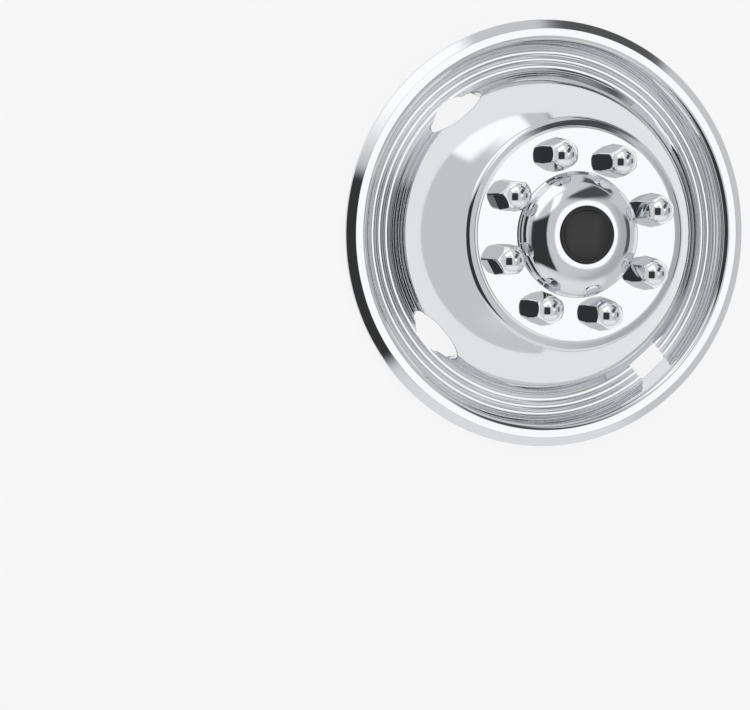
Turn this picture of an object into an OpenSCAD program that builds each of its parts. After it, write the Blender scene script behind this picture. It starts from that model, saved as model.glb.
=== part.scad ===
// Front wheel simulator for a truck with dual rear wheels and eight wheel studs.
// It lies face up. Z is the wheel's axis, and z = 0 is the surface it rests on.
// Every height is that of the polished face; the metal's thickness is behind it.

/* [Face liner] */
// Diameter over the outer edge
liner_d = 436; // [430:1:446]
// Thickness of the stainless sheet
sheet = 1; // [0.8:0.1:1.2]
// Radial width of the sloping rim flange
flange_w = 9.3; // [8:0.1:12]
// Height of the outer edge above the rest surface
flange_z = 16.7; // [15:0.1:19]
// Rise of the rim flange from the outer edge to its crease
flange_rise = 5; // [3.5:0.1:6]
// Radius of the bend along the outer edge
rim_bend = 1.6; // [1.2:0.1:1.8]
// Depth of the edge that is turned down behind the flange
lip_depth = 3.2; // [3:0.1:4]
// Width over the rolled hem of that edge
hem_w = 2.8; // [2.6:0.1:3.4]
// Radius of the hem's two bends
hem_bend = 1.3; // [1.2:0.1:1.3]
// Height of the hem's inner leg
hem_up = 2; // [1.6:0.1:2.2]
// Radius of the bend at the flange's crease
crease_bend = 0.8; // [0.5:0.1:1.2]
// Width of the level land between crease and roll
land_w = 6.7; // [5:0.1:8]
// Radius of the roll between land and barrel wall
roll_r = 8; // [6:0.5:9]
// Slope of the barrel wall
barrel_slope = 70.5; // [66:0.5:73]
// Number of raised ribs on the stepped floor
rib_count = 3; // [3:1:3]
// Pitch of the ribs
rib_pitch = 7.15; // [7:0.05:7.4]
// Height of the ribs above the grooves
rib_h = 2.2; // [1.5:0.1:2.6]
// Width of a rib's top between the corners that its bends round off
rib_top_w = 3; // [2.8:0.1:3.2]
// Radius of the bends along a rib's top
rib_bend = 1.8; // [1.6:0.1:1.9]
// Radius of the bend at the bottom of a groove
groove_bend = 0.9; // [0.8:0.1:1]
// Radius of the bend at the disc wall's foot
foot_bend = 1.2; // [1:0.1:1.3]

/* [Disc] */
// Flat between the last rib and the foot of the disc wall
foot_gap = 1; // [0.8:0.1:1.6]
// How far the shoulder lies inside the foot of the disc wall
shoulder_in = 5.8; // [4:0.1:8]
// Height of the shoulder
shoulder_z = 31.5; // [28:0.5:34]
// Radius of the bend at the shoulder
shoulder_bend = 6; // [4:0.5:8]
// Outward bulge of the conical disc between shoulder and ledge
disc_bulge = 3; // [2:0.1:4]
// Radius of the large bend in the middle of the bulged disc
disc_bend = 300; // [250:10:400]
// Outer radius of the ledge round the bolt plate
ledge_r = 114.3; // [112:0.1:116]
// Height of the step between ledge and bolt plate
plate_step = 2.4; // [1.6:0.1:3]
// Width of that step
step_run = 1.6; // [1.2:0.1:2.4]
// Radius of the step's two bends
step_bend = 1.1; // [0.9:0.1:1.2]
// Radius of the flat bolt plate
plate_r = 106.4; // [105:0.1:108]
// Height of the bolt plate
plate_z = 92; // [86:0.5:98]

/* [Openings] */
// Number of hand holes
hand_holes = 4; // [4:1:4]
// Length of a hand hole round the wheel
hand_len = 61; // [54:1:64]
// Height of a hand hole, from the floor up the disc wall
hand_h = 37.4; // [35:0.2:39]
// Height of a hand hole's middle
hand_z = 18.2; // [17:0.2:19]
// Lean of a hand hole, from the vertical towards the hub
hand_lean = 25; // [22:1:27]
// Depth of the edge turned in round a hand hole
hand_lip = 5; // [3:0.5:7]
// Height above which that edge is turned in
hand_lip_z = 7; // [6:0.5:9]
// Width of the valve slot
valve_w = 36; // [28:1:40]
// Angle from the hand hole's middle to the valve slot's middle
valve_shift = 1.8; // [0:0.2:3]
// Corner radius of the valve slot
valve_corner = 4; // [2:0.5:6]
// Strip of floor left between the slot and the barrel wall
valve_rim = 0.4; // [0.2:0.1:1]
// Height up to which the slot is cut into the disc wall, where it opens into the hand hole
valve_z = 6; // [5:0.5:7]

/* [Lug covers] */
// Number of wheel studs
studs = 8; // [8:1:8]
// Diameter of the bolt circle
bolt_circle = 165.1; // [164:0.1:170]
// Width across the flats at the foot of a lug cover
cover_af = 30.4; // [29.8:0.1:31]
// Height of a lug cover above the plate
cover_h = 34.3; // [32:0.1:36]
// Draft of the flats
cover_draft = 4.3; // [3:0.1:5]
// Radius of the domed crown
crown_r = 15.8; // [15.4:0.1:16.2]
// Radius of the bore that takes the wheel nut
cover_bore_r = 12.9; // [12.7:0.1:13.1]
// Height of the bore's straight part above the plate
bore_h = 17.15; // [15:0.05:18]
// Length of the bore's conical end
bore_end = 10; // [8:0.5:11]
// Radius of the bore at its end
bore_end_r = 6.45; // [5:0.05:8]
// Wall of the collar behind the plate
collar_wall = 1.5; // [1.3:0.1:1.7]
// Length of the collar behind the plate's face
collar_len = 7; // [5:0.5:9]
// Gap round the collar in its hole
collar_gap = 0.2; // [0.1:0.05:0.3]
// Width of a push-on retainer's ring
retainer_w = 2.1; // [1.8:0.1:2.4]
// Thickness of a retainer
retainer_t = 0.8; // [0.6:0.1:1]
// Length of the retainer's slots between its fingers
finger_slot = 1.2; // [0.8:0.1:1.4]

/* [Hub cap] */
// Radius of the cap where it leaves the plate
cap_r = 62.8; // [61:0.1:63.5]
// Taper of the cap wall over its height
cap_taper = 3; // [2:0.1:4]
// Height of the cap's face at its outer bend, above the plate
cap_wall_h = 22; // [20:0.1:24]
// Rise of the cap's face from bend to medallion
cap_crown = 2.2; // [1.5:0.1:3]
// Radius of the cap's rounded shoulder
cap_bend = 13; // [10:0.5:14]
// Sheet thickness of the cap
cap_sheet = 0.9; // [0.8:0.1:1.1]
// Width of the foot flange behind the plate
foot_w = 2.6; // [2.2:0.1:2.8]
// Gap round the cap in the plate's hub bore
cap_gap = 0.3; // [0.2:0.05:0.4]
// Number of spring clips that hold the cap
clips = 4; // [4:1:4]
// Width of a clip
clip_w = 16; // [12:1:20]
// Thickness of a clip
clip_t = 1; // [0.8:0.1:1.2]
// Length of a clip's pad against the plate
clip_pad = 11; // [9:0.5:14]
// Gap between a clip's step and the rim of the cap's foot
clip_gap = 0.6; // [0.4:0.1:0.8]
// Reach of a clip's finger inside the foot's bend
clip_reach = 1.2; // [0.8:0.1:1.6]

/* [Medallion] */
// Radius of the medallion
medal_r = 28.1; // [27:0.1:29]
// Thickness of the medallion at its edge
medal_t = 1.5; // [1.3:0.1:2]
// Crown of the medallion's face
medal_crown = 1.2; // [0.8:0.1:1.8]
// Depth of its seat in the cap
seat_depth = 1.5; // [1.2:0.1:1.8]
// Thickness of the adhesive pad
pad_t = 0.5; // [0.4:0.1:0.8]
// Width of the medallion's edge that the pad leaves bare
pad_inset = 1.5; // [1:0.1:3]
// Gap round the medallion in its seat
medal_gap = 0.3; // [0.2:0.05:0.4]

/* [Hidden] */
$fn = 96;
eps = 0.01;

STAINLESS = [0.80, 0.81, 0.83];
CHROME = [0.88, 0.89, 0.91];
SPRING = [0.45, 0.46, 0.50];
BLACK = [0.04, 0.04, 0.05];

liner_r = liner_d / 2;
crease_r = liner_r - flange_w;
crease_z = flange_z + flange_rise;
// The back of the bend in each groove touches z = 0.
rib_slope = atan(rib_h / (rib_pitch - rib_top_w) * 2);
groove_z = sheet + groove_bend - groove_bend / cos(rib_slope);
rib_z = groove_z + rib_h;
// The roll starts level at the land and ends along the barrel wall.
roll_vertex_r = crease_r - land_w - roll_r * tan(barrel_slope / 2);
barrel_foot_r = roll_vertex_r - (crease_z - groove_z) / tan(barrel_slope);
// The disc stands inside the ribs.
disc_foot_r = barrel_foot_r - rib_count * rib_pitch - foot_gap;
shoulder_r = disc_foot_r - shoulder_in;
ledge_z = plate_z - plate_step;
plate_back = plate_z - sheet;
hub_bore_r = cap_r + cap_gap;
collar_r = cover_bore_r + collar_wall;
cover_hole_r = collar_r + collar_gap;
retainer_bore_r = collar_r + eps;
retainer_r = cover_hole_r + retainer_w;
bolt_r = bolt_circle / 2;
stud_turn = 360 / studs / 2;
hand_turn = 360 / hand_holes / 2;
punch_reach = 16;
valve_angle = -hand_turn + valve_shift;
slot_in_r = shoulder_r;
slot_out_r = barrel_foot_r - valve_rim;
cap_face_z = plate_z + cap_wall_h;
crown_z = cap_face_z + cap_crown;
seat_r = medal_r + medal_gap;
seat_z = crown_z - seat_depth;
// How far each lug cover happened to be turned when it was pressed in
cover_turns = [42, 3, 12, 52, 12, 57, 12, 27];

// Point where line a-b meets line c-d
function meet(a, b, c, d) =
    let (u = b - a, v = d - c, w = c - a,
         k = (w[0] * v[1] - w[1] * v[0]) / (u[0] * v[1] - u[1] * v[0]))
    a + k * u;
function unit(v) = v / norm(v);
function xy(p) = [p[0], p[1]];
// The sheet's normal to the left of the way from a to b
function left(a, b) = let (u = unit(b - a)) [-u[1], u[0]];
// Twice the turn's sign at b: above 0 to the left
function turn(a, b, c) = (b[0] - a[0]) * (c[1] - b[1]) - (b[1] - a[1]) * (c[0] - b[0]);

// A bend of radius p[2] at corner p, on the way from a to c
function bend(a, p, c) =
    let (b = xy(p), u = unit(a - b), v = unit(c - b),
         half = acos(max(-1, min(1, u * v))) / 2,
         mid = b + unit(u + v) * p[2] / sin(half),
         start = b + u * p[2] / tan(half),
         sweep = (180 - 2 * half) * (turn(a, b, c) > 0 ? 1 : -1),
         steps = max(1, ceil(abs(sweep) / 15), ceil(p[2] * abs(sweep) / 57 / 8)),
         from = start - mid)
    p[2] < eps ? [b] :
    [for (i = [0:steps]) let (t = sweep * i / steps)
        mid + [from[0] * cos(t) - from[1] * sin(t), from[0] * sin(t) + from[1] * cos(t)]];

// A path of corners [r, z, bend radius] with its bends drawn in
function rounded(path) =
    let (last = len(path) - 1)
    concat([xy(path[0])],
           [for (i = [1:last - 1]) each bend(xy(path[i - 1]), path[i], xy(path[i + 1]))],
           [xy(path[last])]);

// The same path moved d to its left, with each bend kept concentric
function beside(path, d) =
    let (last = len(path) - 1)
    [for (i = [0:last])
        let (p = xy(path[i]),
             a = i > 0 ? xy(path[i - 1]) : 2 * p - xy(path[1]),
             c = i < last ? xy(path[i + 1]) : 2 * p - xy(path[last - 1]),
             m = left(a, p) * d, n = left(p, c) * d,
             straight = abs(turn(a, p, c)) < eps,
             q = straight ? p + m : meet(a + m, p + m, p + n, c + n))
        [q[0], q[1], straight ? 0 :
            max(0, path[i][2] + (turn(a, p, c) > 0 ? -d : d))]];

// Sheet metal d thick on the left of a path, as a closed outline
function sheet_outline(path, d) =
    concat(rounded(path), let (b = rounded(beside(path, d))) [for (i = [len(b) - 1:-1:0]) b[i]]);

// Rounded rib, from its outer edge to its inner one, and the groove inside it
function rib(i) =
    let (r = barrel_foot_r - (i + 0.5) * rib_pitch, w = rib_top_w / 2)
    concat([[r + w, rib_z, rib_bend], [r - w, rib_z, rib_bend]],
           i < rib_count - 1 ? [[r - rib_pitch / 2, groove_z, groove_bend]] : []);

disc_top = [ledge_r, ledge_z];
disc_foot = [shoulder_r, shoulder_z];
disc_mid = (disc_top + disc_foot) / 2 - left(disc_foot, disc_top) * disc_bulge;

// The liner's polished face from the rolled hem in to the hub bore
liner_path = concat(
    [[liner_r - hem_w, flange_z - lip_depth + hem_up, 0],
     [liner_r - hem_w, flange_z - lip_depth, hem_bend],
     [liner_r, flange_z - lip_depth, hem_bend],
     [liner_r, flange_z, rim_bend],
     [crease_r, crease_z, crease_bend],
     [roll_vertex_r, crease_z, roll_r],
     [barrel_foot_r, groove_z, groove_bend]],
    [for (i = [0:rib_count - 1]) each rib(i)],
    [[disc_foot_r, groove_z, foot_bend],
     [shoulder_r, shoulder_z, shoulder_bend],
     [disc_mid[0], disc_mid[1], disc_bend],
     [ledge_r, ledge_z, shoulder_bend],
     [plate_r + step_run, ledge_z, step_bend],
     [plate_r, plate_z, step_bend],
     [hub_bore_r, plate_z, 0]]);

// Everything between the sheet's back and a skin d further behind it
function behind_outline(path, near, far) =
    let (a = rounded(beside(path, near)), b = rounded(beside(path, far)))
    concat(a, [for (i = [len(b) - 1:-1:0]) b[i]]);

// The disc wall's path alone, for the turned-in edges of the hand holes
disc_path = [
    [disc_foot_r, groove_z, 0],
    [shoulder_r, shoulder_z, shoulder_bend],
    [disc_mid[0], disc_mid[1], 0]];

// Oval of a hand hole, squarer than an ellipse
function oval(length, height, n = 48, power = 0.9) =
    [for (i = [0:n - 1]) let (c = cos(360 * i / n), s = sin(360 * i / n))
        [length / 2 * sign(c) * pow(abs(c), power), height / 2 * sign(s) * pow(abs(s), power)]];

// The punch of the hand holes, centred on the disc wall and square to the hole's lean
module punch(length, height, depth) {
    for (i = [0:hand_holes - 1])
        rotate([0, 0, hand_turn + 360 / hand_holes * i])
            translate([shoulder_r, 0, hand_z])
                rotate([0, -hand_lean, 0])
                    rotate([90, 0, 90])
                        translate([0, 0, -depth])
                            linear_extrude(2 * depth) polygon(oval(length, height));
}

// Four corners of a rectangle from a to b, each rounded with radius c
function round_corners(a, b, c) =
    concat(
        [for (t = [-90:15:0]) [b[0] - c + c * cos(t), a[1] + c + c * sin(t)]],
        [for (t = [0:15:90]) [b[0] - c + c * cos(t), b[1] - c + c * sin(t)]],
        [for (t = [90:15:180]) [a[0] + c + c * cos(t), b[1] - c + c * sin(t)]],
        [for (t = [180:15:270]) [a[0] + c + c * cos(t), a[1] + c + c * sin(t)]]);

// Slot through the stepped floor for the valve, open to the hand hole inside it
module valve_slot() {
    rotate([0, 0, valve_angle])
        translate([0, 0, -1])
            linear_extrude(valve_z + 1)
                polygon(round_corners([slot_in_r, -valve_w / 2], [slot_out_r, valve_w / 2],
                                      valve_corner));
}

// One sheet of stainless steel: rim flange, barrel wall, stepped floor, disc and bolt plate
module face_liner() {
    color(STAINLESS) {
        difference() {
            rotate_extrude($fn = 180) polygon(sheet_outline(liner_path, sheet));
            punch(hand_len, hand_h, punch_reach);
            valve_slot();
            for (i = [0:studs - 1])
                rotate([0, 0, stud_turn + 360 / studs * i])
                    translate([bolt_r, 0, plate_back - 1])
                        cylinder(h = sheet + 2, r = cover_hole_r);
        }
        hand_hole_edges();
    }
}

// The sheet's edge turned in round each hand hole, above the floor
module hand_hole_edges() {
    intersection() {
        rotate_extrude($fn = 180) polygon(behind_outline(disc_path, sheet, sheet + hand_lip));
        difference() {
            punch(hand_len + 2 * sheet, hand_h + 2 * sheet, punch_reach - 1);
            punch(hand_len, hand_h, punch_reach);
        }
        translate([0, 0, hand_lip_z]) cylinder(h = plate_z, r = liner_r);
    }
}

// Hexagonal body with drafted flats: six inclined planes round the axis
module drafted_hex() {
    big = cover_af * 3;
    intersection_for(i = [0:5])
        rotate([0, 0, 60 * i])
            translate([cover_af / 2, 0, 0])
                rotate([0, -cover_draft, 0])
                    translate([-big, -big / 2, -big])
                        cube([big, big, 2 * big]);
}

// Ball crown on a skirt that starts outside the hexagon's corners
module ball_crown() {
    ball_z = cover_h - crown_r;
    translate([0, 0, ball_z]) sphere(r = crown_r);
    cylinder(h = ball_z, r1 = cover_af / 2 / cos(30), r2 = crown_r);
}

// Bore for the wheel nut, with a conical end in the crown
module cover_bore() {
    translate([0, 0, -collar_len - 1]) cylinder(h = collar_len + 1 + bore_h, r = cover_bore_r);
    translate([0, 0, bore_h]) cylinder(h = bore_end, r1 = cover_bore_r, r2 = bore_end_r);
}

// Chromed lug cover: drafted hexagon, ball crown, collar through the plate, bore from behind
module lug_cover(i) {
    color(CHROME)
        rotate([0, 0, stud_turn + 360 / studs * (i - 1)])
            translate([bolt_r, 0, plate_z])
                rotate([0, 0, cover_turns[i - 1]])
                    difference() {
                        union() {
                            intersection() {
                                drafted_hex();
                                ball_crown();
                            }
                            translate([0, 0, -collar_len])
                                cylinder(h = collar_len + 1, r = collar_r);
                        }
                        cover_bore();
                    }
}

// Push-on retainer of spring steel behind the plate, with fingers that bite on the collar
module lug_retainer(i) {
    fingers = 8;
    cut = 1;
    color(SPRING)
        rotate([0, 0, stud_turn + 360 / studs * (i - 1)])
            translate([bolt_r, 0, plate_back - retainer_t])
                difference() {
                    cylinder(h = retainer_t, r = retainer_r);
                    translate([0, 0, -1]) cylinder(h = retainer_t + 2, r = retainer_bore_r);
                    for (k = [0:fingers - 1])
                        rotate([0, 0, 360 / fingers * k])
                            translate([0, -cut / 2, -1])
                                cube([retainer_bore_r + finger_slot, cut, retainer_t + 2]);
                }
}

// The cap's polished face from its foot behind the plate to the middle of the medallion's seat
cap_straight = 1;
seat_draft = 0.2;
cap_path = [
    [cap_r + foot_w, plate_back, 0],
    [cap_r, plate_back, 0.2],
    [cap_r, plate_z + cap_straight, 3],
    [cap_r - cap_taper, cap_face_z, cap_bend],
    [seat_r, crown_z, 0.8],
    [seat_r - seat_draft, seat_z, 0.3],
    [0, seat_z, 0]];

// Drawn cap: open behind, with its foot against the plate's back
module hub_cap() {
    color(CHROME)
        rotate_extrude($fn = 180) polygon(sheet_outline(cap_path, cap_sheet));
}

// Spring clip welded to the plate's back, with a finger under the cap's foot
module cap_clip(i) {
    foot_z = plate_back - cap_sheet;
    step_r = cap_r + foot_w + clip_gap;
    finger_r = cap_r - clip_reach;
    color(SPRING)
        rotate([0, 0, 360 / clips * (i - 1)])
            translate([0, clip_w / 2, 0])
                rotate([90, 0, 0])
                    linear_extrude(clip_w)
                        polygon([
                            [finger_r, foot_z - clip_t], [step_r + clip_t, foot_z - clip_t],
                            [step_r + clip_t, plate_back - clip_t],
                            [step_r + clip_pad, plate_back - clip_t],
                            [step_r + clip_pad, plate_back], [step_r, plate_back],
                            [step_r, foot_z], [finger_r, foot_z]]);
}

// Domed disc of black plastic in the cap's seat
module medallion() {
    base = seat_z + pad_t;
    ball_r = (medal_r * medal_r + medal_crown * medal_crown) / (2 * medal_crown);
    edge_bend = 0.5;
    edge = asin((medal_r - edge_bend) / ball_r);
    color(BLACK)
        rotate_extrude()
            polygon(concat(
                [[0, base], [medal_r, base], [medal_r, base + medal_t - edge_bend]],
                [for (k = [0:8]) let (t = edge * (1 - k / 8))
                    [ball_r * sin(t), base + medal_t + medal_crown - ball_r * (1 - cos(t))]]));
}

// Adhesive pad under the medallion
module medallion_pad() {
    color([0.2, 0.2, 0.2])
        translate([0, 0, seat_z]) cylinder(h = pad_t, r = medal_r - pad_inset);
}

face_liner();
hub_cap();
medallion();
medallion_pad();
for (i = [1:8]) lug_cover(i);
for (i = [1:8]) lug_retainer(i);
for (i = [1:4]) cap_clip(i);
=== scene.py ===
import bpy
import numpy as np
from mathutils import Matrix, Vector


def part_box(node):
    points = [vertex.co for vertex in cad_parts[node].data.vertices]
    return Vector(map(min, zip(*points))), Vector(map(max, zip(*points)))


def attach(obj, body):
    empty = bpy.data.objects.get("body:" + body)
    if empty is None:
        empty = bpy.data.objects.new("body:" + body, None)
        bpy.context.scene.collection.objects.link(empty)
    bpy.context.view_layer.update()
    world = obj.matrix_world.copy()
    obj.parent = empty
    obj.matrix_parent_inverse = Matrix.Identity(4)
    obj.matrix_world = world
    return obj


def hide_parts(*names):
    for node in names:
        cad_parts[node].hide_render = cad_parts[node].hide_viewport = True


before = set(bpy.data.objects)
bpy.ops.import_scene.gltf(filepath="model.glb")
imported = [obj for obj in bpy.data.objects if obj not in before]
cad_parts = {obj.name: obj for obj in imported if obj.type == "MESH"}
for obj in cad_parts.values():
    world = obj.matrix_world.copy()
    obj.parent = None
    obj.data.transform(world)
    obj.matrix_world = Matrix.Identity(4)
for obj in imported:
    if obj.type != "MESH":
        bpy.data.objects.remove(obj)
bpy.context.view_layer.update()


# Camera
# The liner lies face up on the floor and the camera looks down at it from 2.5 m, 18 degrees to
# the left of its axis. Its place was worked out from the wheel's coaxial circles, in mm.
mm = 0.001
axis_yaw, axis_pitch, photo_turn = 0.31724, 0.05687, np.radians(4.35)
eye_distance, rim_level = 2548.0, 16.7
focal_length_px, image_w = 2492.96, 750
axis_at_px = np.array([173.969, 121.211])

axis_seen = np.array([np.sin(axis_yaw) * np.cos(axis_pitch), -np.sin(axis_pitch),
                      np.cos(axis_yaw) * np.cos(axis_pitch)])
across = np.cross([0, 1, 0], axis_seen)
across /= np.linalg.norm(across)
wheel_in_eye = np.stack([across, np.cross(axis_seen, across), axis_seen], axis=1)
photo_to_row = np.array([[np.cos(photo_turn), -np.sin(photo_turn), 0],
                         [np.sin(photo_turn), np.cos(photo_turn), 0], [0, 0, 1]])
wheel_centre_in_eye = np.array([*(axis_at_px * eye_distance / focal_length_px), -eye_distance])
eye = photo_to_row @ (-wheel_in_eye.T @ wheel_centre_in_eye) + [0, 0, rim_level]
eye_axes = photo_to_row @ wheel_in_eye.T

lens = bpy.data.cameras.new("camera")
lens.sensor_fit, lens.sensor_width = "HORIZONTAL", 36
lens.lens = focal_length_px / image_w * lens.sensor_width
lens.clip_start, lens.clip_end = 0.05, 60
camera = bpy.data.objects.new("camera", lens)
pose = Matrix([list(row) + [0] for row in eye_axes] + [[0, 0, 0, 1]])
camera.matrix_world = Matrix.Translation(Vector(eye * mm)) @ pose
bpy.context.scene.collection.objects.link(camera)
bpy.context.scene.camera = camera
bpy.context.scene.view_settings.view_transform = "Standard"


# Studio
# A pale floor, and round it a tent of soft white and grey cloths that the metal mirrors.
# The cloths are regions of the sky's directions, with soft edges, and give the soft light.
def node(tree, kind, inputs=None, **settings):
    """A node of that kind: inputs are its socket values or links, by name or number."""
    made = tree.nodes.new(kind)
    for key, value in settings.items():
        setattr(made, key, value)
    for key, value in (inputs or {}).items():
        if isinstance(value, bpy.types.NodeSocket):
            tree.links.new(value, made.inputs[key])
        else:
            made.inputs[key].default_value = value
    return made


def calc(tree, operation, *values):
    """A Math node's result."""
    return node(tree, "ShaderNodeMath", dict(enumerate(values)), operation=operation).outputs[0]


def soft_step(tree, value, low, high):
    """0 below low, 1 above high, smooth between."""
    ramp = node(tree, "ShaderNodeMapRange", {"Value": value, "From Min": low, "From Max": high},
                interpolation_type="SMOOTHSTEP")
    return ramp.outputs["Result"]


def cloth(tree, direction, centre, up, half_w, half_h, soft):
    """The mask of a rectangular cloth, seen from the middle of the floor: its centre's and its upper
    edge's directions, its half sizes as tangents, and how soft its edges are. On a plane at right
    angles to the centre, a direction meets the point (direction . side, direction . up) / ahead."""
    centre = photo_to_row @ np.array(centre, float)
    centre /= np.linalg.norm(centre)
    up = photo_to_row @ np.array(up, float)
    up -= centre * (up @ centre)
    up /= np.linalg.norm(up)
    side = np.cross(up, centre)

    def along(v):
        return node(tree, "ShaderNodeVectorMath", {0: direction, 1: list(v)},
                    operation="DOT_PRODUCT").outputs["Value"]
    ahead = calc(tree, "MAXIMUM", along(centre), 0.001)
    x = calc(tree, "ABSOLUTE", calc(tree, "DIVIDE", along(side), ahead))
    y = calc(tree, "ABSOLUTE", calc(tree, "DIVIDE", along(up), ahead))
    inside = calc(tree, "MULTIPLY", soft_step(tree, x, half_w + soft, half_w - soft),
                  soft_step(tree, y, half_h + soft, half_h - soft))
    return calc(tree, "MULTIPLY", inside, soft_step(tree, along(centre), 0, 0.05))


world = bpy.data.worlds.new("studio")
bpy.context.scene.world = world
world.use_nodes = True
sky = world.node_tree
sky.nodes.clear()
way = node(sky, "ShaderNodeTexCoord").outputs["Generated"]
tone = 0.66
# Each cloth's centre and up direction, half width, half height, softness and tone
cloths = [
    ((0.66, -0.24, 0.71), (0, 0, 1), 0.55, 0.25, 0.15, 0.48),
    ((0.08, -0.86, 0.50), (0, 0, 1), 0.80, 0.32, 0.20, 0.85),
    ((-0.42, 0.68, 0.60), (0, 0, 1), 0.44, 0.22, 0.08, 1.20),
    ((-0.42, 0.90, 0.07), (0, 0, 1), 0.36, 0.10, 0.05, 1.20),
    ((-0.08, 0.48, 0.87), (0, 0, 1), 0.10, 0.20, 0.04, 1.20),
    ((0.57, 0.73, 0.36), (0, 0, 1), 0.27, 0.12, 0.05, 0.10),
    ((0.32, 0.94, 0.00), (0, 0, 1), 0.20, 0.08, 0.05, 0.12),
    ((0.46, 0.46, 0.76), (0, 0, 1), 0.17, 0.33, 0.06, 0.08),
    ((0.88, 0.0, 0.47), (0, 0, 1), 0.22, 0.13, 0.05, 0.10),
    ((-0.47, -0.18, 0.87), (0, 1, 0), 0.42, 0.50, 0.06, 0.04),
    ((0.37, 0.0, 0.93), (0, 1, 0), 0.12, 0.12, 0.03, 1.17),
]
for centre, up, half_w, half_h, soft, own_tone in cloths:
    mask = cloth(sky, way, centre, up, half_w, half_h, soft)
    tone = node(sky, "ShaderNodeMix", {"Factor": mask, "A": tone, "B": own_tone},
                data_type="FLOAT").outputs["Result"]
glow = node(sky, "ShaderNodeBackground", {"Color": (1, 1, 1, 1), "Strength": tone})
node(sky, "ShaderNodeOutputWorld", {"Surface": glow.outputs[0]})

floor_half, floor_whiteness = 6.0, 0.85
floor_mesh = bpy.data.meshes.new("floor")
floor_mesh.from_pydata([(-floor_half, -floor_half, 0), (floor_half, -floor_half, 0),
                        (floor_half, floor_half, 0), (-floor_half, floor_half, 0)], [], [(0, 1, 2, 3)])
floor = bpy.data.objects.new("floor", floor_mesh)
bpy.context.scene.collection.objects.link(floor)
paper = bpy.data.materials.new("floor_paper")
paper.use_nodes = True
tree = paper.node_tree
tree.nodes.clear()
matt = node(tree, "ShaderNodeBsdfDiffuse", {"Color": (0.9, 0.9, 0.9, 1)})
white = node(tree, "ShaderNodeEmission", {"Color": (1, 1, 1, 1), "Strength": 1.0})

# The camera and the metal see the same pale paper, and the rest of it takes the object's shadow
rays = node(tree, "ShaderNodeLightPath").outputs
shown = calc(tree, "MAXIMUM", rays["Is Camera Ray"], rays["Is Glossy Ray"])
shown = calc(tree, "MAXIMUM", shown, rays["Is Transmission Ray"])
share = calc(tree, "MULTIPLY", shown, floor_whiteness)
paper_face = node(tree, "ShaderNodeMixShader", {0: share, 1: matt.outputs[0], 2: white.outputs[0]})
node(tree, "ShaderNodeOutputMaterial", {"Surface": paper_face.outputs[0]})
floor_mesh.materials.append(paper)


# Face liner
# One disc of polished stainless sheet, 1 mm thick, stamped into flange, barrel, ribbed floor,
# disc and bolt plate. Its outer edge is turned down and hemmed over the wheel's rim. The edges of
# the four hand holes are turned in, and one hole runs on into the slot for the tyre valve.
liner_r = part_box("face_liner")[1].x / mm
plate_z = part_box("face_liner")[1].z / mm
sheet = 1.0
flange_w, flange_z, flange_rise = 9.3, 16.7, 5.0
lip_depth, hem_w, hem_up, hem_bend, rim_bend = 3.2, 2.8, 2.0, 1.3, 1.6
crease_bend, land_w, roll_r, barrel_slope = 1.1, 6.7, 8.0, np.radians(70.5)
rib_count, rib_pitch, rib_h, rib_top_w = 3, 7.15, 2.2, 3.0
rib_bend, groove_bend, foot_bend = 1.8, 0.9, 1.2
foot_gap, shoulder_in, shoulder_z, shoulder_bend, disc_bulge, disc_bend = 1.0, 5.8, 31.5, 6.0, 3.0, 300
ledge_r, plate_step, plate_r, step_run, step_bend = 114.3, 2.4, 106.4, 1.6, 1.1
ledge_fall, ledge_bend = 1.2, 9.0
hub_bore_r = 63.1

crease_r, crease_z = liner_r - flange_w, flange_z + flange_rise
rib_slope = np.arctan2(rib_h, (rib_pitch - rib_top_w) / 2)
groove_z = sheet + groove_bend - groove_bend / np.cos(rib_slope)
rib_z = groove_z + rib_h
roll_vertex_r = crease_r - land_w - roll_r * np.tan(barrel_slope / 2)
barrel_foot_r = roll_vertex_r - (crease_z - groove_z) / np.tan(barrel_slope)
disc_foot_r = barrel_foot_r - rib_count * rib_pitch - foot_gap
shoulder_r = disc_foot_r - shoulder_in
ledge_z = plate_z - plate_step
disc_way = np.array([ledge_r - shoulder_r, ledge_z - shoulder_z])
disc_way /= np.linalg.norm(disc_way)
disc_mid = (np.array([ledge_r + shoulder_r, ledge_z + shoulder_z]) / 2
            - np.array([-disc_way[1], disc_way[0]]) * disc_bulge)

# Corners of the polished face: radius, height, bend radius, steps round the bend, steps of the
# straight that follows it
corners = [
    (liner_r - hem_w, flange_z - lip_depth + hem_up, 0, 0, 1),
    (liner_r - hem_w, flange_z - lip_depth, hem_bend, 4, 1),
    (liner_r, flange_z - lip_depth, hem_bend, 4, 1),
    (liner_r, flange_z, rim_bend, 5, 3),
    (crease_r, crease_z, crease_bend, 3, 2),
    (roll_vertex_r, crease_z, roll_r, 12, 5),
    (barrel_foot_r, groove_z, groove_bend, 5, 1)]
for rib in range(rib_count):
    r = barrel_foot_r - (rib + 0.5) * rib_pitch
    corners += [(r + rib_top_w / 2, rib_z, rib_bend, 4, 1), (r - rib_top_w / 2, rib_z, rib_bend, 4, 1)]
    if rib < rib_count - 1:
        corners += [(r - rib_pitch / 2, groove_z, groove_bend, 4, 1)]
foot_corner = len(corners)
corners += [
    (disc_foot_r, groove_z, foot_bend, 6, 11),
    (shoulder_r, shoulder_z, shoulder_bend, 8, 9),
    (disc_mid[0], disc_mid[1], disc_bend, 6, 6),
    (ledge_r + ledge_fall, ledge_z - ledge_fall, ledge_bend, 6, 1),
    (plate_r + step_run, ledge_z, step_bend, 4, 1),
    (plate_r, plate_z, step_bend, 4, 6),
    (hub_bore_r, plate_z, 0, 0, 0)]
corners = np.array(corners)


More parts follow.
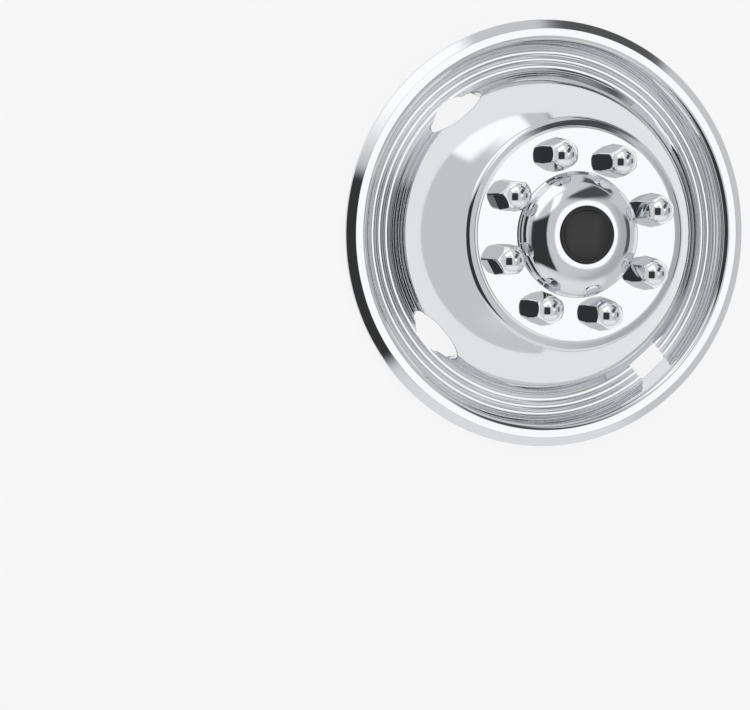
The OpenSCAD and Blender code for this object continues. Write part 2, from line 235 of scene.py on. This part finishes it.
def bent_section(corners, finer=1):
    """Points along a section with bent corners: radius, height, the face's normal (to the right
    of the way) and distance along the section, and where each bend begins.
    A bend of radius R at corner b between directions u and v is the arc round
    b + unit(u + v) R / sin(half the angle between them)."""
    p, bend = corners[:, :2], corners[:, 2]
    turns, spans = corners[:, 3] * finer, corners[:, 4] * finer
    points, normals, begins, ends = [], [], [], []
    for k in range(len(p)):
        if k in (0, len(p) - 1):
            d = p[1] - p[0] if k == 0 else p[-1] - p[-2]
            arc, way = p[k:k + 1], (d / np.linalg.norm(d))[None]
        else:
            u, v = p[k - 1] - p[k], p[k + 1] - p[k]
            u, v = u / np.linalg.norm(u), v / np.linalg.norm(v)
            half = np.arccos(np.clip(u @ v, -1, 1)) / 2
            middle = p[k] + (u + v) / np.linalg.norm(u + v) * bend[k] / np.sin(half)
            start = p[k] + u * bend[k] / np.tan(half) - middle
            sweep = (np.pi - 2 * half) * np.sign(u[1] * v[0] - u[0] * v[1])
            t = sweep * np.arange(turns[k] + 1) / turns[k]
            turn = np.stack([np.stack([np.cos(t), -np.sin(t)], 1), np.stack([np.sin(t), np.cos(t)], 1)], 1)
            arc, way = middle + turn @ start, turn @ -u
        if k:
            n = int(spans[k - 1])
            f = np.arange(1, n)[:, None] / n
            points.append(ends[-1] + (arc[0] - ends[-1]) * f)
            normals.append(np.repeat([[way[0][1], -way[0][0]]], n - 1, 0))
        begins.append(sum(len(run) for run in points))
        points.append(arc)
        normals.append(np.stack([way[:, 1], -way[:, 0]], 1))
        ends.append(arc[-1])
    points, normals = np.concatenate(points), np.concatenate(normals)
    step = np.linalg.norm(np.diff(points, axis=0), axis=1)
    return {"r": points[:, 0], "z": points[:, 1], "nr": normals[:, 0], "nz": normals[:, 1],
            "s": np.concatenate([[0], np.cumsum(step)]), "begins": np.array(begins)}


# The face is a grid: columns round the wheel, closer together at the hand holes, and rows along
# the section
finer, columns, crowding = 8, 320, 0.1
section = bent_section(corners, finer)
foot_at = section["s"][section["begins"][foot_corner]]
column = np.arange(columns) * 2 * np.pi / columns
theta, along = np.meshgrid(column + crowding * np.sin(4 * column), section["s"][::finer], indexing="ij")
rows = along.shape[1]

hand_len, hand_h, hand_z, hand_lean, hand_power = 61.0, 37.4, 18.2, np.radians(25), 2 / 0.9
hand_turns = np.radians([45, 135, 225, 315])
end_roll, top_roll, floor_roll, floor_level, hand_reach = 2.4, 3.4, 0.95, 1.5, 20
valve_w, valve_corner, valve_rim, valve_top = 36.0, 4.0, 0.4, 6.0
valve_turn = np.radians(-43.2)
valve_out_r = barrel_foot_r - valve_rim


def in_hand_hole(theta, s):
    """Above 0 inside a hand hole's rolled edge, about in mm: 1 - |x/a|^p - |y/b|^p in the frame
    of the punch that leans back over the disc's foot. The ribs count as a level floor."""
    r, z = np.interp(s, section["s"], section["r"]), np.interp(s, section["s"], section["z"])
    off = (theta - hand_turns[0] + np.pi / 4) % (np.pi / 2) - np.pi / 4
    z = np.where(s < foot_at, floor_level, np.maximum(z, floor_level))
    x = np.abs(r * np.sin(off)) / (hand_len / 2 + end_roll)
    y = (shoulder_r - r * np.cos(off)) * np.sin(hand_lean) + (z - hand_z) * np.cos(hand_lean)
    y = np.abs(y) / (hand_h / 2 + np.where(y > 0, top_roll, floor_roll))
    inside = (1 - x ** hand_power - y ** hand_power) * hand_h / 4
    return np.where(abs(r - shoulder_r) < hand_reach, inside, -1)


def in_slot(theta, s):
    """Above 0 inside the valve slot, in mm from its edge: a rectangle with rounded corners that
    cuts the floor and the lowest part of the disc."""
    r, z = np.interp(s, section["s"], section["r"]), np.interp(s, section["s"], section["z"])
    u = np.abs(r * np.cos(theta - valve_turn) - (shoulder_r + valve_out_r) / 2)
    v = np.abs(r * np.sin(theta - valve_turn))
    u += valve_corner - (valve_out_r - shoulder_r) / 2
    v += valve_corner - valve_w / 2
    out = np.hypot(np.maximum(u, 0), np.maximum(v, 0)) + np.minimum(np.maximum(u, v), 0)
    return np.minimum(valve_corner - out, valve_top - z)


def in_opening(theta, s):
    """Above 0 inside a hand hole or the valve slot, whichever is deeper."""
    return np.maximum(in_hand_hole(theta, s), in_slot(theta, s))


# Where an edge of the grid crosses the edge of an opening, the nearer of its two points is moved
# there, along the grid's edge
halvings = 30
level = in_opening(theta, along)
moved_theta, moved_along = theta.copy(), along.copy()
nearest = np.full(level.shape, np.inf)
for step_i, step_j in ((1, 0), (-1, 0), (0, 1), (0, -1)):
    i, j = np.nonzero(level * np.roll(level, (-step_i, -step_j), (0, 1)) < 0)
    i_to, j_to = (i + step_i) % columns, j + step_j
    here = theta[i, j], along[i, j]
    turn = (theta[i_to, j_to] - here[0] + np.pi) % (2 * np.pi) - np.pi
    climb = along[i_to, j_to] - here[1]
    low, high = np.zeros(len(i)), np.ones(len(i))
    for _ in range(halvings):
        half = (low + high) / 2
        same = in_opening(here[0] + turn * half, here[1] + climb * half) * level[i, j] > 0
        low, high = np.where(same, half, low), np.where(same, high, half)
    length = high * np.hypot(turn * shoulder_r, climb)
    near = (high < 0.5) & (length < nearest[i, j])
    i, j = i[near], j[near]
    nearest[i, j] = length[near]
    moved_theta[i, j] = (here[0] + turn * high)[near]
    moved_along[i, j] = (here[1] + climb * high)[near]
state = np.where(np.isfinite(nearest), 0, np.sign(level))
theta, along = moved_theta, moved_along
r, z, nr, nz = (np.interp(along, section["s"], section[k]) for k in ("r", "z", "nr", "nz"))
spots = np.stack([r * np.cos(theta), r * np.sin(theta), z], 2).reshape(-1, 3)
out = np.stack([nr * np.cos(theta), nr * np.sin(theta), nz], 2).reshape(-1, 3)
out /= np.linalg.norm(out, axis=1)[:, None]

# Squares outside the openings stay. One with a corner inside and the opposite corner outside
# leaves a triangle.
i, j = (v.ravel() for v in np.meshgrid(np.arange(columns), np.arange(rows - 1), indexing="ij"))
k = (i + 1) % columns
square = np.stack([i * rows + j, k * rows + j, k * rows + j + 1, i * rows + j + 1], 1)
sides = state.reshape(-1)[square]
level = in_opening(theta[i, j] + ((theta[k, j] - theta[i, j] + np.pi) % (2 * np.pi) - np.pi) / 2,
                   (along[i, j] + along[i, j + 1]) / 2)
kept = (sides.max(1) <= 0) & ((sides.min(1) < 0) | (level < 0))
faces = square[kept].tolist()
for corner in range(4):
    a, b, c, d = (np.roll(sides, -corner, 1)[:, n] for n in range(4))
    cut = (a > 0) & (b == 0) & (c < 0) & (d == 0)
    faces += np.roll(square, -corner, 1)[cut][:, 1:].tolist()


def edge_loops(faces):
    """Loops of points along the open edges of a set of faces, with the faces on the left."""
    ways = {(face[n - 1], face[n]) for face in faces for n in range(len(face))}
    onward = {a: b for a, b in ways if (b, a) not in ways}
    loops = []
    while onward:
        loop = [next(iter(onward))]
        while loop[-1] in onward:
            loop.append(onward.pop(loop[-1]))
        loops.append(np.array(loop[:-1]))
    return loops


# Turned-in edges: from each point of a hole's edge a cubic curve leaves along the face and ends
# along the punch. Towards the floor it fades to a plain cut edge, as round the slot.
turned_in, edge_steps, fade_low, fade_high = 6.5, 7, 6.0, 13.0
cut_edge, run_on, face_pull, punch_pull, near_rim = 0.25, 0.08, 0.8, 0.5, 5
for loop in edge_loops(faces):
    if r.reshape(-1)[loop].max() > liner_r - near_rim or r.reshape(-1)[loop].min() < hub_bore_r + near_rim:
        continue
    spot, normal = spots[loop], out[loop]
    turn = hand_turns[np.argmax(np.cos(hand_turns - np.arctan2(spot[:, 1].mean(), spot[:, 0].mean())))]
    ahead = np.array([np.cos(turn) * np.cos(hand_lean), np.sin(turn) * np.cos(hand_lean), np.sin(hand_lean)])
    side = np.array([-np.sin(turn), np.cos(turn), 0])
    up = np.cross(ahead, side)
    x = (spot - shoulder_r * np.array([np.cos(turn), np.sin(turn), 0])) @ side
    y = (spot - [shoulder_r * np.cos(turn), shoulder_r * np.sin(turn), hand_z]) @ up
    to_punch = (np.outer(x * hand_len / (hand_len + 2 * end_roll) - x, side)
                + np.outer(y * hand_h / (hand_h + 2 * np.where(y > 0, top_roll, floor_roll)) - y, up))
    size = np.clip((spot[:, 2] - fade_low) / (fade_high - fade_low), 0, 1)
    size = (size * size * (3 - 2 * size))[:, None]
    tangent = np.roll(spot, -1, 0) - np.roll(spot, 1, 0)
    inward = np.cross(tangent, normal)
    inward /= np.linalg.norm(inward, axis=1)[:, None]
    way = inward * (1 - size) - ahead * size
    way /= np.linalg.norm(way, axis=1)[:, None]
    end = spot + (to_punch - ahead * turned_in) * size + inward * cut_edge * (1 - size)
    first = spot + inward * (run_on + face_pull * np.linalg.norm(to_punch, axis=1)[:, None] * size)
    last = end - way * (run_on + punch_pull * turned_in * size)
    t = np.linspace(0, 1, edge_steps + 1)[:, None, None]
    curve = (1 - t) ** 3 * spot + 3 * t * (1 - t) ** 2 * first + 3 * t * t * (1 - t) * last + t ** 3 * end
    face_out = np.cross(np.gradient(curve, axis=0), np.roll(curve, -1, 1) - np.roll(curve, 1, 1))
    face_out /= np.linalg.norm(face_out, axis=2)[..., None]
    face_out = face_out * size + normal * (1 - size)
    face_out /= np.linalg.norm(face_out, axis=2)[..., None]
    before = loop
    for k in range(1, edge_steps + 1):
        after = len(spots) + np.arange(len(loop))
        spots, out = np.vstack([spots, curve[k]]), np.vstack([out, face_out[k]])
        faces += np.stack([np.roll(before, -1), before, after, np.roll(after, -1)], 1).tolist()
        before = after

# The sheet's other side, one thickness behind the face, and the cut edges between the two
behind = len(spots)
cut_edges = edge_loops(faces)
faces += [[n + behind for n in face[::-1]] for face in faces]
for loop in cut_edges:
    ahead = np.roll(loop, -1)
    faces += np.stack([ahead, loop, loop + behind, ahead + behind], 1).tolist()
spots, out = np.vstack([spots, spots - out * sheet]), np.vstack([out, -out])


def metal_piece(name, places, faces, normals, replaced, material):
    """A closed piece in the row's frame from points in mm, with its own vertex normals where
    they aren't zero."""
    mesh = bpy.data.meshes.new(name)
    mesh.from_pydata((places * mm).tolist(), [], faces)
    mesh.update()
    mesh.polygons.foreach_set("use_smooth", np.ones(len(mesh.polygons), bool))
    mesh.normals_split_custom_set_from_vertices(normals.tolist())
    mesh.materials.append(material)
    piece = bpy.data.objects.new(name, mesh)
    bpy.context.scene.collection.objects.link(piece)
    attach(piece, "root")
    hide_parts(*replaced)
    return piece


def make_polish_marks():
    """The group of nodes for a polished surface's marks. Lines is noise drawn out round the wheel's
    axis: it changes with (radius, angle, height) at 2600, 1.5 and 2600 to the metre or radian.
    Roughness is the one given, times 0.75 to 1.3 by soft smudges."""
    group = bpy.data.node_groups.new("polish_marks", "ShaderNodeTree")
    group.interface.new_socket("Roughness", in_out="INPUT", socket_type="NodeSocketFloat")
    group.interface.new_socket("Roughness", in_out="OUTPUT", socket_type="NodeSocketFloat")
    group.interface.new_socket("Lines", in_out="OUTPUT", socket_type="NodeSocketFloat")
    given = node(group, "NodeGroupInput").outputs["Roughness"]
    place = node(group, "ShaderNodeTexCoord").outputs["Object"]
    part = node(group, "ShaderNodeSeparateXYZ", {0: place}).outputs
    level = node(group, "ShaderNodeCombineXYZ", {"X": part["X"], "Y": part["Y"]}).outputs[0]
    radius = node(group, "ShaderNodeVectorMath", {0: level}, operation="LENGTH").outputs["Value"]
    angle = calc(group, "ARCTAN2", part["Y"], part["X"])
    lines_at = node(group, "ShaderNodeCombineXYZ", {
        "X": calc(group, "MULTIPLY", radius, 2600.0), "Y": calc(group, "MULTIPLY", angle, 1.5),
        "Z": calc(group, "MULTIPLY", part["Z"], 2600.0)}).outputs[0]
    lines = node(group, "ShaderNodeTexNoise",
                 {"Vector": lines_at, "Scale": 1.0, "Detail": 2.0}).outputs["Fac"]
    smudge = node(group, "ShaderNodeTexNoise", {"Vector": place, "Scale": 22.0, "Detail": 3.0}).outputs["Fac"]
    gloss = node(group, "ShaderNodeMapRange", {
        "Value": smudge, "From Min": 0.3, "From Max": 0.7, "To Min": calc(group, "MULTIPLY", given, 0.75),
        "To Max": calc(group, "MULTIPLY", given, 1.3)}).outputs["Result"]
    node(group, "NodeGroupOutput", {"Roughness": gloss, "Lines": lines})
    return group


polish_marks = make_polish_marks()


def polished(name, colour, roughness, grain):
    """Polished metal with the marks of polishing: grain is how strong its lines are."""
    material = bpy.data.materials.new(name)
    material.use_nodes = True
    tree = material.node_tree
    tree.nodes.clear()
    marks = node(tree, "ShaderNodeGroup", {"Roughness": roughness}, node_tree=polish_marks).outputs
    bump = node(tree, "ShaderNodeBump", {"Height": marks["Lines"], "Strength": grain, "Distance": 0.00002})
    shade = node(tree, "ShaderNodeBsdfPrincipled", {
        "Base Color": (*colour, 1), "Metallic": 1.0, "Roughness": marks["Roughness"],
        "Normal": bump.outputs["Normal"]})
    node(tree, "ShaderNodeOutputMaterial", {"Surface": shade.outputs[0]})
    return material


used, faces_used = np.unique(np.concatenate([np.array(face) for face in faces]), return_inverse=True)
ends = np.cumsum([0] + [len(face) for face in faces])
faces = [faces_used[a:b].tolist() for a, b in zip(ends[:-1], ends[1:])]
stainless = polished("polished_stainless", (0.80, 0.81, 0.83), 0.05, 0.15)
metal_piece("liner_sheet", spots[used], faces, out[used], ["face_liner"], stainless)


# Hub cap
# Drawn stainless cap in the plate's middle, polished. Its foot is turned out behind the plate,
# where four spring clips hold it. Its face is a dome with a shallow seat for the medallion.
cap_r, cap_wall_h, cap_crown = 62.8, 22.0, 2.2
cap_sheet, foot_w, cap_step_bend, cap_step_z, cap_step_in, cap_shoulder = 0.9, 2.6, 1.2, 2.6, 0.6, 4.5
medal_r, medal_gap, seat_depth, seat_draft = 28.1, 0.3, 1.5, 0.2
cap_face_z = plate_z + cap_wall_h
crown_z = cap_face_z + cap_crown
seat_r = medal_r + medal_gap
seat_z = crown_z - seat_depth
cap_wall_r, crown_end, crown_fall, crown_power, roundness = 59.8, 56.0, 8.0, 2.6, 0.9

# From the seat to the crown's end the dome falls by crown_fall * share^crown_power. Each corner of
# its outline is rounded by nearly the dome's own curve there
dome_share = np.linspace(1.0, 0.1, 12)
dome_r = seat_r + (crown_end - seat_r) * dome_share
dome_z = crown_z - crown_fall * dome_share**crown_power
dome_slope = crown_fall * crown_power / (crown_end - seat_r) * dome_share**(crown_power - 1)
dome_curve = dome_slope * (crown_power - 1) / (dome_r - seat_r) / (1 + dome_slope**2)**1.5
cap_corners = np.array([
    (cap_r + foot_w, plate_z - sheet, 0, 0, 1),
    (cap_r, plate_z - sheet, 0.2, 3, 1),
    (cap_r, plate_z + cap_step_bend, cap_step_bend, 4, 1),
    (cap_wall_r + cap_step_in, plate_z + cap_step_z, cap_step_bend, 4, 3),
    (cap_wall_r, dome_z[0] - (cap_wall_r - crown_end) * dome_slope[0], cap_shoulder, 8, 2),
    *[(r, z, roundness / curve, 2, 1) for r, z, curve in zip(dome_r, dome_z, dome_curve)],
    (seat_r, crown_z, 1.0, 5, 1),
    (seat_r - seat_draft, seat_z, 0.3, 3, 6),
    (0, seat_z, 0, 0, 0)])


def turned_piece(name, r, z, nr, nz, steps, replaced, material):
    """A closed turned piece from its outline (radius, height, normal), which starts and ends on
    the axis: point k at turn t is (r cos t, r sin t, z)."""
    t = np.arange(steps) * 2 * np.pi / steps
    rings = len(r) - 2
    spot = np.stack([np.outer(r[1:-1], np.cos(t)), np.outer(r[1:-1], np.sin(t)),
                     np.repeat(z[1:-1, None], steps, 1)], 2).reshape(-1, 3)
    out = np.stack([np.outer(nr[1:-1], np.cos(t)), np.outer(nr[1:-1], np.sin(t)),
                    np.repeat(nz[1:-1, None], steps, 1)], 2).reshape(-1, 3)
    spot = np.vstack([spot, [[0, 0, z[0]], [0, 0, z[-1]]]])
    out = np.vstack([out, [[0, 0, nz[0]], [0, 0, nz[-1]]]])
    ring, col = np.meshgrid(np.arange(rings - 1), np.arange(steps), indexing="ij")
    ring, col = ring.ravel(), col.ravel()
    nxt = (col + 1) % steps
    quads = np.stack([ring * steps + col, (ring + 1) * steps + col, (ring + 1) * steps + nxt,
                      ring * steps + nxt], 1)
    col = np.arange(steps)
    nxt = (col + 1) % steps
    first, last = rings * steps, rings * steps + 1
    ends = [np.stack([np.full(steps, first), col, nxt], 1),
            np.stack([np.full(steps, last), (rings - 1) * steps + nxt, (rings - 1) * steps + col], 1)]
    return metal_piece(name, spot, quads.tolist() + np.concatenate(ends).tolist(), out, replaced,
                       material)


face = bent_section(cap_corners)
chrome_cap = polished("polished_cap", (0.80, 0.82, 0.85), 0.05, 0.12)
turned_piece(
    "cap_shell", np.concatenate([face["r"][::-1], face["r"] - face["nr"] * cap_sheet]),
    np.concatenate([face["z"][::-1], face["z"] - face["nz"] * cap_sheet]),
    np.concatenate([face["nr"][::-1], -face["nr"]]), np.concatenate([face["nz"][::-1], -face["nz"]]),
    256, ["hub_cap"], chrome_cap)


# Medallion
# Moulded disc of gloss black plastic with a slightly domed face and a fine groove near its
# edge, stuck in the cap's seat on a foam pad.
medal_t, medal_crown, medal_edge, medal_chamfer, pad_t = 1.5, 1.2, 0.5, 0.3, 0.5
groove_at, groove_w, groove_deep = 24.6, 0.35, 0.22
base = seat_z + pad_t

# Its face is a parabola less a bell-shaped groove, z = crown (1 - (r / medal_r)^2) - deep
# exp(-((r - groove_at) / groove_w)^2), and a quarter circle rounds its edge
r = (medal_r - medal_edge) * np.linspace(1, 0, 90)
groove = groove_deep * np.exp(-((r - groove_at) / groove_w) ** 2)
dome = base + medal_t + medal_crown * (1 - (r / medal_r) ** 2) - groove
t = np.radians(np.arange(0, 90, 15))
r = np.concatenate([[0, medal_r - medal_chamfer, medal_r], medal_r - medal_edge + medal_edge * np.cos(t), r])
z = np.concatenate([[base, base, base + medal_chamfer], dome[0] - medal_edge + medal_edge * np.sin(t), dome])
dr, dz = np.gradient(r), np.gradient(z)
size = np.hypot(dr, dz)
black = bpy.data.materials.new("gloss_black")
black.use_nodes = True
tree = black.node_tree
tree.nodes.clear()
place = node(tree, "ShaderNodeTexCoord").outputs["Object"]
haze = node(tree, "ShaderNodeTexNoise", {"Vector": place, "Scale": 60.0, "Detail": 4.0}).outputs["Fac"]
gloss = node(tree, "ShaderNodeMapRange", {"Value": haze, "From Min": 0.3, "From Max": 0.7,
                                          "To Min": 0.10, "To Max": 0.18})
shade = node(tree, "ShaderNodeBsdfPrincipled", {
    "Base Color": (0.012, 0.012, 0.014, 1), "Roughness": gloss.outputs["Result"]})
node(tree, "ShaderNodeOutputMaterial", {"Surface": shade.outputs[0]})
turned_piece("medallion_disc", r[::-1], z[::-1], (dz / size)[::-1], (-dr / size)[::-1], 192,
             ["medallion"], black)


# Lug covers
# Eight chromed covers over the wheel nuts: hexagons with drafted flats that arch into a ball
# crown. Each has a collar through the plate and is held behind it by a push-on retainer.
cover_af, cover_h, cover_draft, crown_r = 30.4, 34.3, np.radians(4.3), 15.8
cover_bore_r, bore_end, bore_ring_z, collar_wall, collar_len, chamfer = 12.9, 10.0, 5.0, 1.5, 7.0, 0.3
bolt_r = 165.1 / 2
cover_turns = [42, 3, 12, 52, 12, 57, 12, 27]
edge_sharpness = 70.0
ball_z = cover_h - crown_r
skirt_r = cover_af / 2 / np.cos(np.pi / 6)


def cover_surface(turn, way):
    """A cover's outside at angle turn and place way (0 at the foot, 1 where the ball starts, 2 at
    the top). The radius is the smooth least of the six flats' and the crown's:
    1/r = (sum of (cos(turn - 60 k)/d)^p + (1/crown)^p)^(1/p)."""
    t = np.clip(way - 1, 0, 1) * np.pi / 2
    z = np.where(way < 1, way * ball_z, ball_z + crown_r * np.sin(t))
    crown = np.where(way < 1, skirt_r + (crown_r - skirt_r) * way, crown_r * np.cos(t))
    flat = cover_af / 2 - z * np.tan(cover_draft)
    k = np.radians(60 * np.arange(6))
    facing = np.maximum(np.cos(turn[..., None] - k), 0) / flat[..., None]
    near = np.maximum(crown, 1e-4)
    most = np.maximum(facing.max(-1), 1 / near)
    total = ((facing / most[..., None]) ** edge_sharpness).sum(-1) + (1 / near / most) ** edge_sharpness
    r = 1 / (most * total ** (1 / edge_sharpness))
    return np.stack([r * np.cos(turn), r * np.sin(turn), z], -1)


turns_round = 144
turn = np.arange(turns_round) * 2 * np.pi / turns_round
way = np.concatenate([[0, 0.02, 0.08], np.linspace(0.2, 0.95, 9), 1 + np.linspace(0, 1, 34)[:-1]])
turn, way = np.meshgrid(turn, way, indexing="ij")
h = 1e-3
shell = cover_surface(turn, way)
round_it = cover_surface(turn + h, way) - cover_surface(turn - h, way)
up_it = cover_surface(turn, np.minimum(way + h, 2)) - cover_surface(turn, np.maximum(way - h, 0))
shell_out = np.cross(round_it, up_it)
shell_out /= np.linalg.norm(shell_out, axis=2)[..., None]
collar_r = cover_bore_r + collar_wall
inside = np.array([(cover_bore_r / 2, cover_h / 2 + bore_end), (cover_bore_r, cover_h / 2),
                   (cover_bore_r, bore_ring_z), (cover_bore_r, chamfer - collar_len),
                   (cover_bore_r + chamfer, -collar_len), (collar_r - chamfer, -collar_len),
                   (collar_r, chamfer - collar_len), (collar_r, 0)])
ring = np.stack([inside[None, :, 0] * np.cos(turn[:, :1]), inside[None, :, 0] * np.sin(turn[:, :1]),
                 np.repeat(inside[None, :, 1], turns_round, 0)], 2)
grid = np.concatenate([ring, shell], 1)
out = np.concatenate([np.zeros_like(ring), shell_out], 1)
n = grid.shape[1]
i, j = (v.ravel() for v in np.meshgrid(np.arange(turns_round), np.arange(n - 1), indexing="ij"))
k = (i + 1) % turns_round
cover_faces = np.stack([i * n + j, k * n + j, k * n + j + 1, i * n + j + 1], 1).tolist()
i = np.arange(turns_round)
k = (i + 1) % turns_round
top, deep = turns_round * n, turns_round * n + 1
cover_faces += np.stack([i * n + n - 1, k * n + n - 1, np.full_like(i, top)], 1).tolist()
cover_faces += np.stack([k * n, i * n, np.full_like(i, deep)], 1).tolist()
cover_spots = np.vstack([grid.reshape(-1, 3), [[0, 0, cover_h], [0, 0, cover_h / 2 + bore_end]]])
cover_out = np.vstack([out.reshape(-1, 3), [[0, 0, 1], [0, 0, 0]]])
chrome = polished("bright_chrome", (0.88, 0.89, 0.91), 0.03, 0.0)
for number in range(8):
    stand = np.radians(22.5 + 45 * number)
    twist = stand + np.radians(cover_turns[number])
    spin = np.array([[np.cos(twist), np.sin(twist), 0], [-np.sin(twist), np.cos(twist), 0], [0, 0, 1]])
    foot = [bolt_r * np.cos(stand), bolt_r * np.sin(stand), plate_z]
    metal_piece("cover_%d" % (number + 1), cover_spots @ spin + foot, cover_faces, cover_out @ spin,
                ["lug_cover_%d" % (number + 1)], chrome)


# Retainers, clips and pad
# Spring steel rings pushed on the covers' collars, spring clips welded behind the plate, and
# the medallion's foam pad. They are the imported solids, with their own finishes. The pad's
# dark grey has painted shade in its dents.
spring = polished("spring_steel", (0.42, 0.43, 0.46), 0.32, 0.5)
foam = bpy.data.materials.new("foam_pad")
foam.use_nodes = True
tree = foam.node_tree
tree.nodes.clear()
place = node(tree, "ShaderNodeTexCoord").outputs["Object"]
cells = node(tree, "ShaderNodeTexVoronoi", {"Vector": place, "Scale": 1500.0}).outputs["Distance"]
dent = node(tree, "ShaderNodeBump", {"Height": cells, "Strength": 0.5, "Distance": 0.0003})
# Painted shade: the grey follows the same cells as the dents. It is 0.02 at the bottom of each dent and
# lighter towards the dent's rim, up to 0.06.
dent_shaded_grey = node(tree, "ShaderNodeMapRange", {"Value": cells, "To Min": 0.02, "To Max": 0.06})
shade = node(tree, "ShaderNodeBsdfPrincipled", {"Base Color": dent_shaded_grey.outputs["Result"], "Roughness": 0.9,
                                                "Normal": dent.outputs["Normal"]})
node(tree, "ShaderNodeOutputMaterial", {"Surface": shade.outputs[0]})
for name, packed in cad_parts.items():
    if name.startswith(("lug_retainer", "cap_clip", "medallion_pad")):
        packed.data.materials.clear()
        packed.data.materials.append(foam if name == "medallion_pad" else spring)
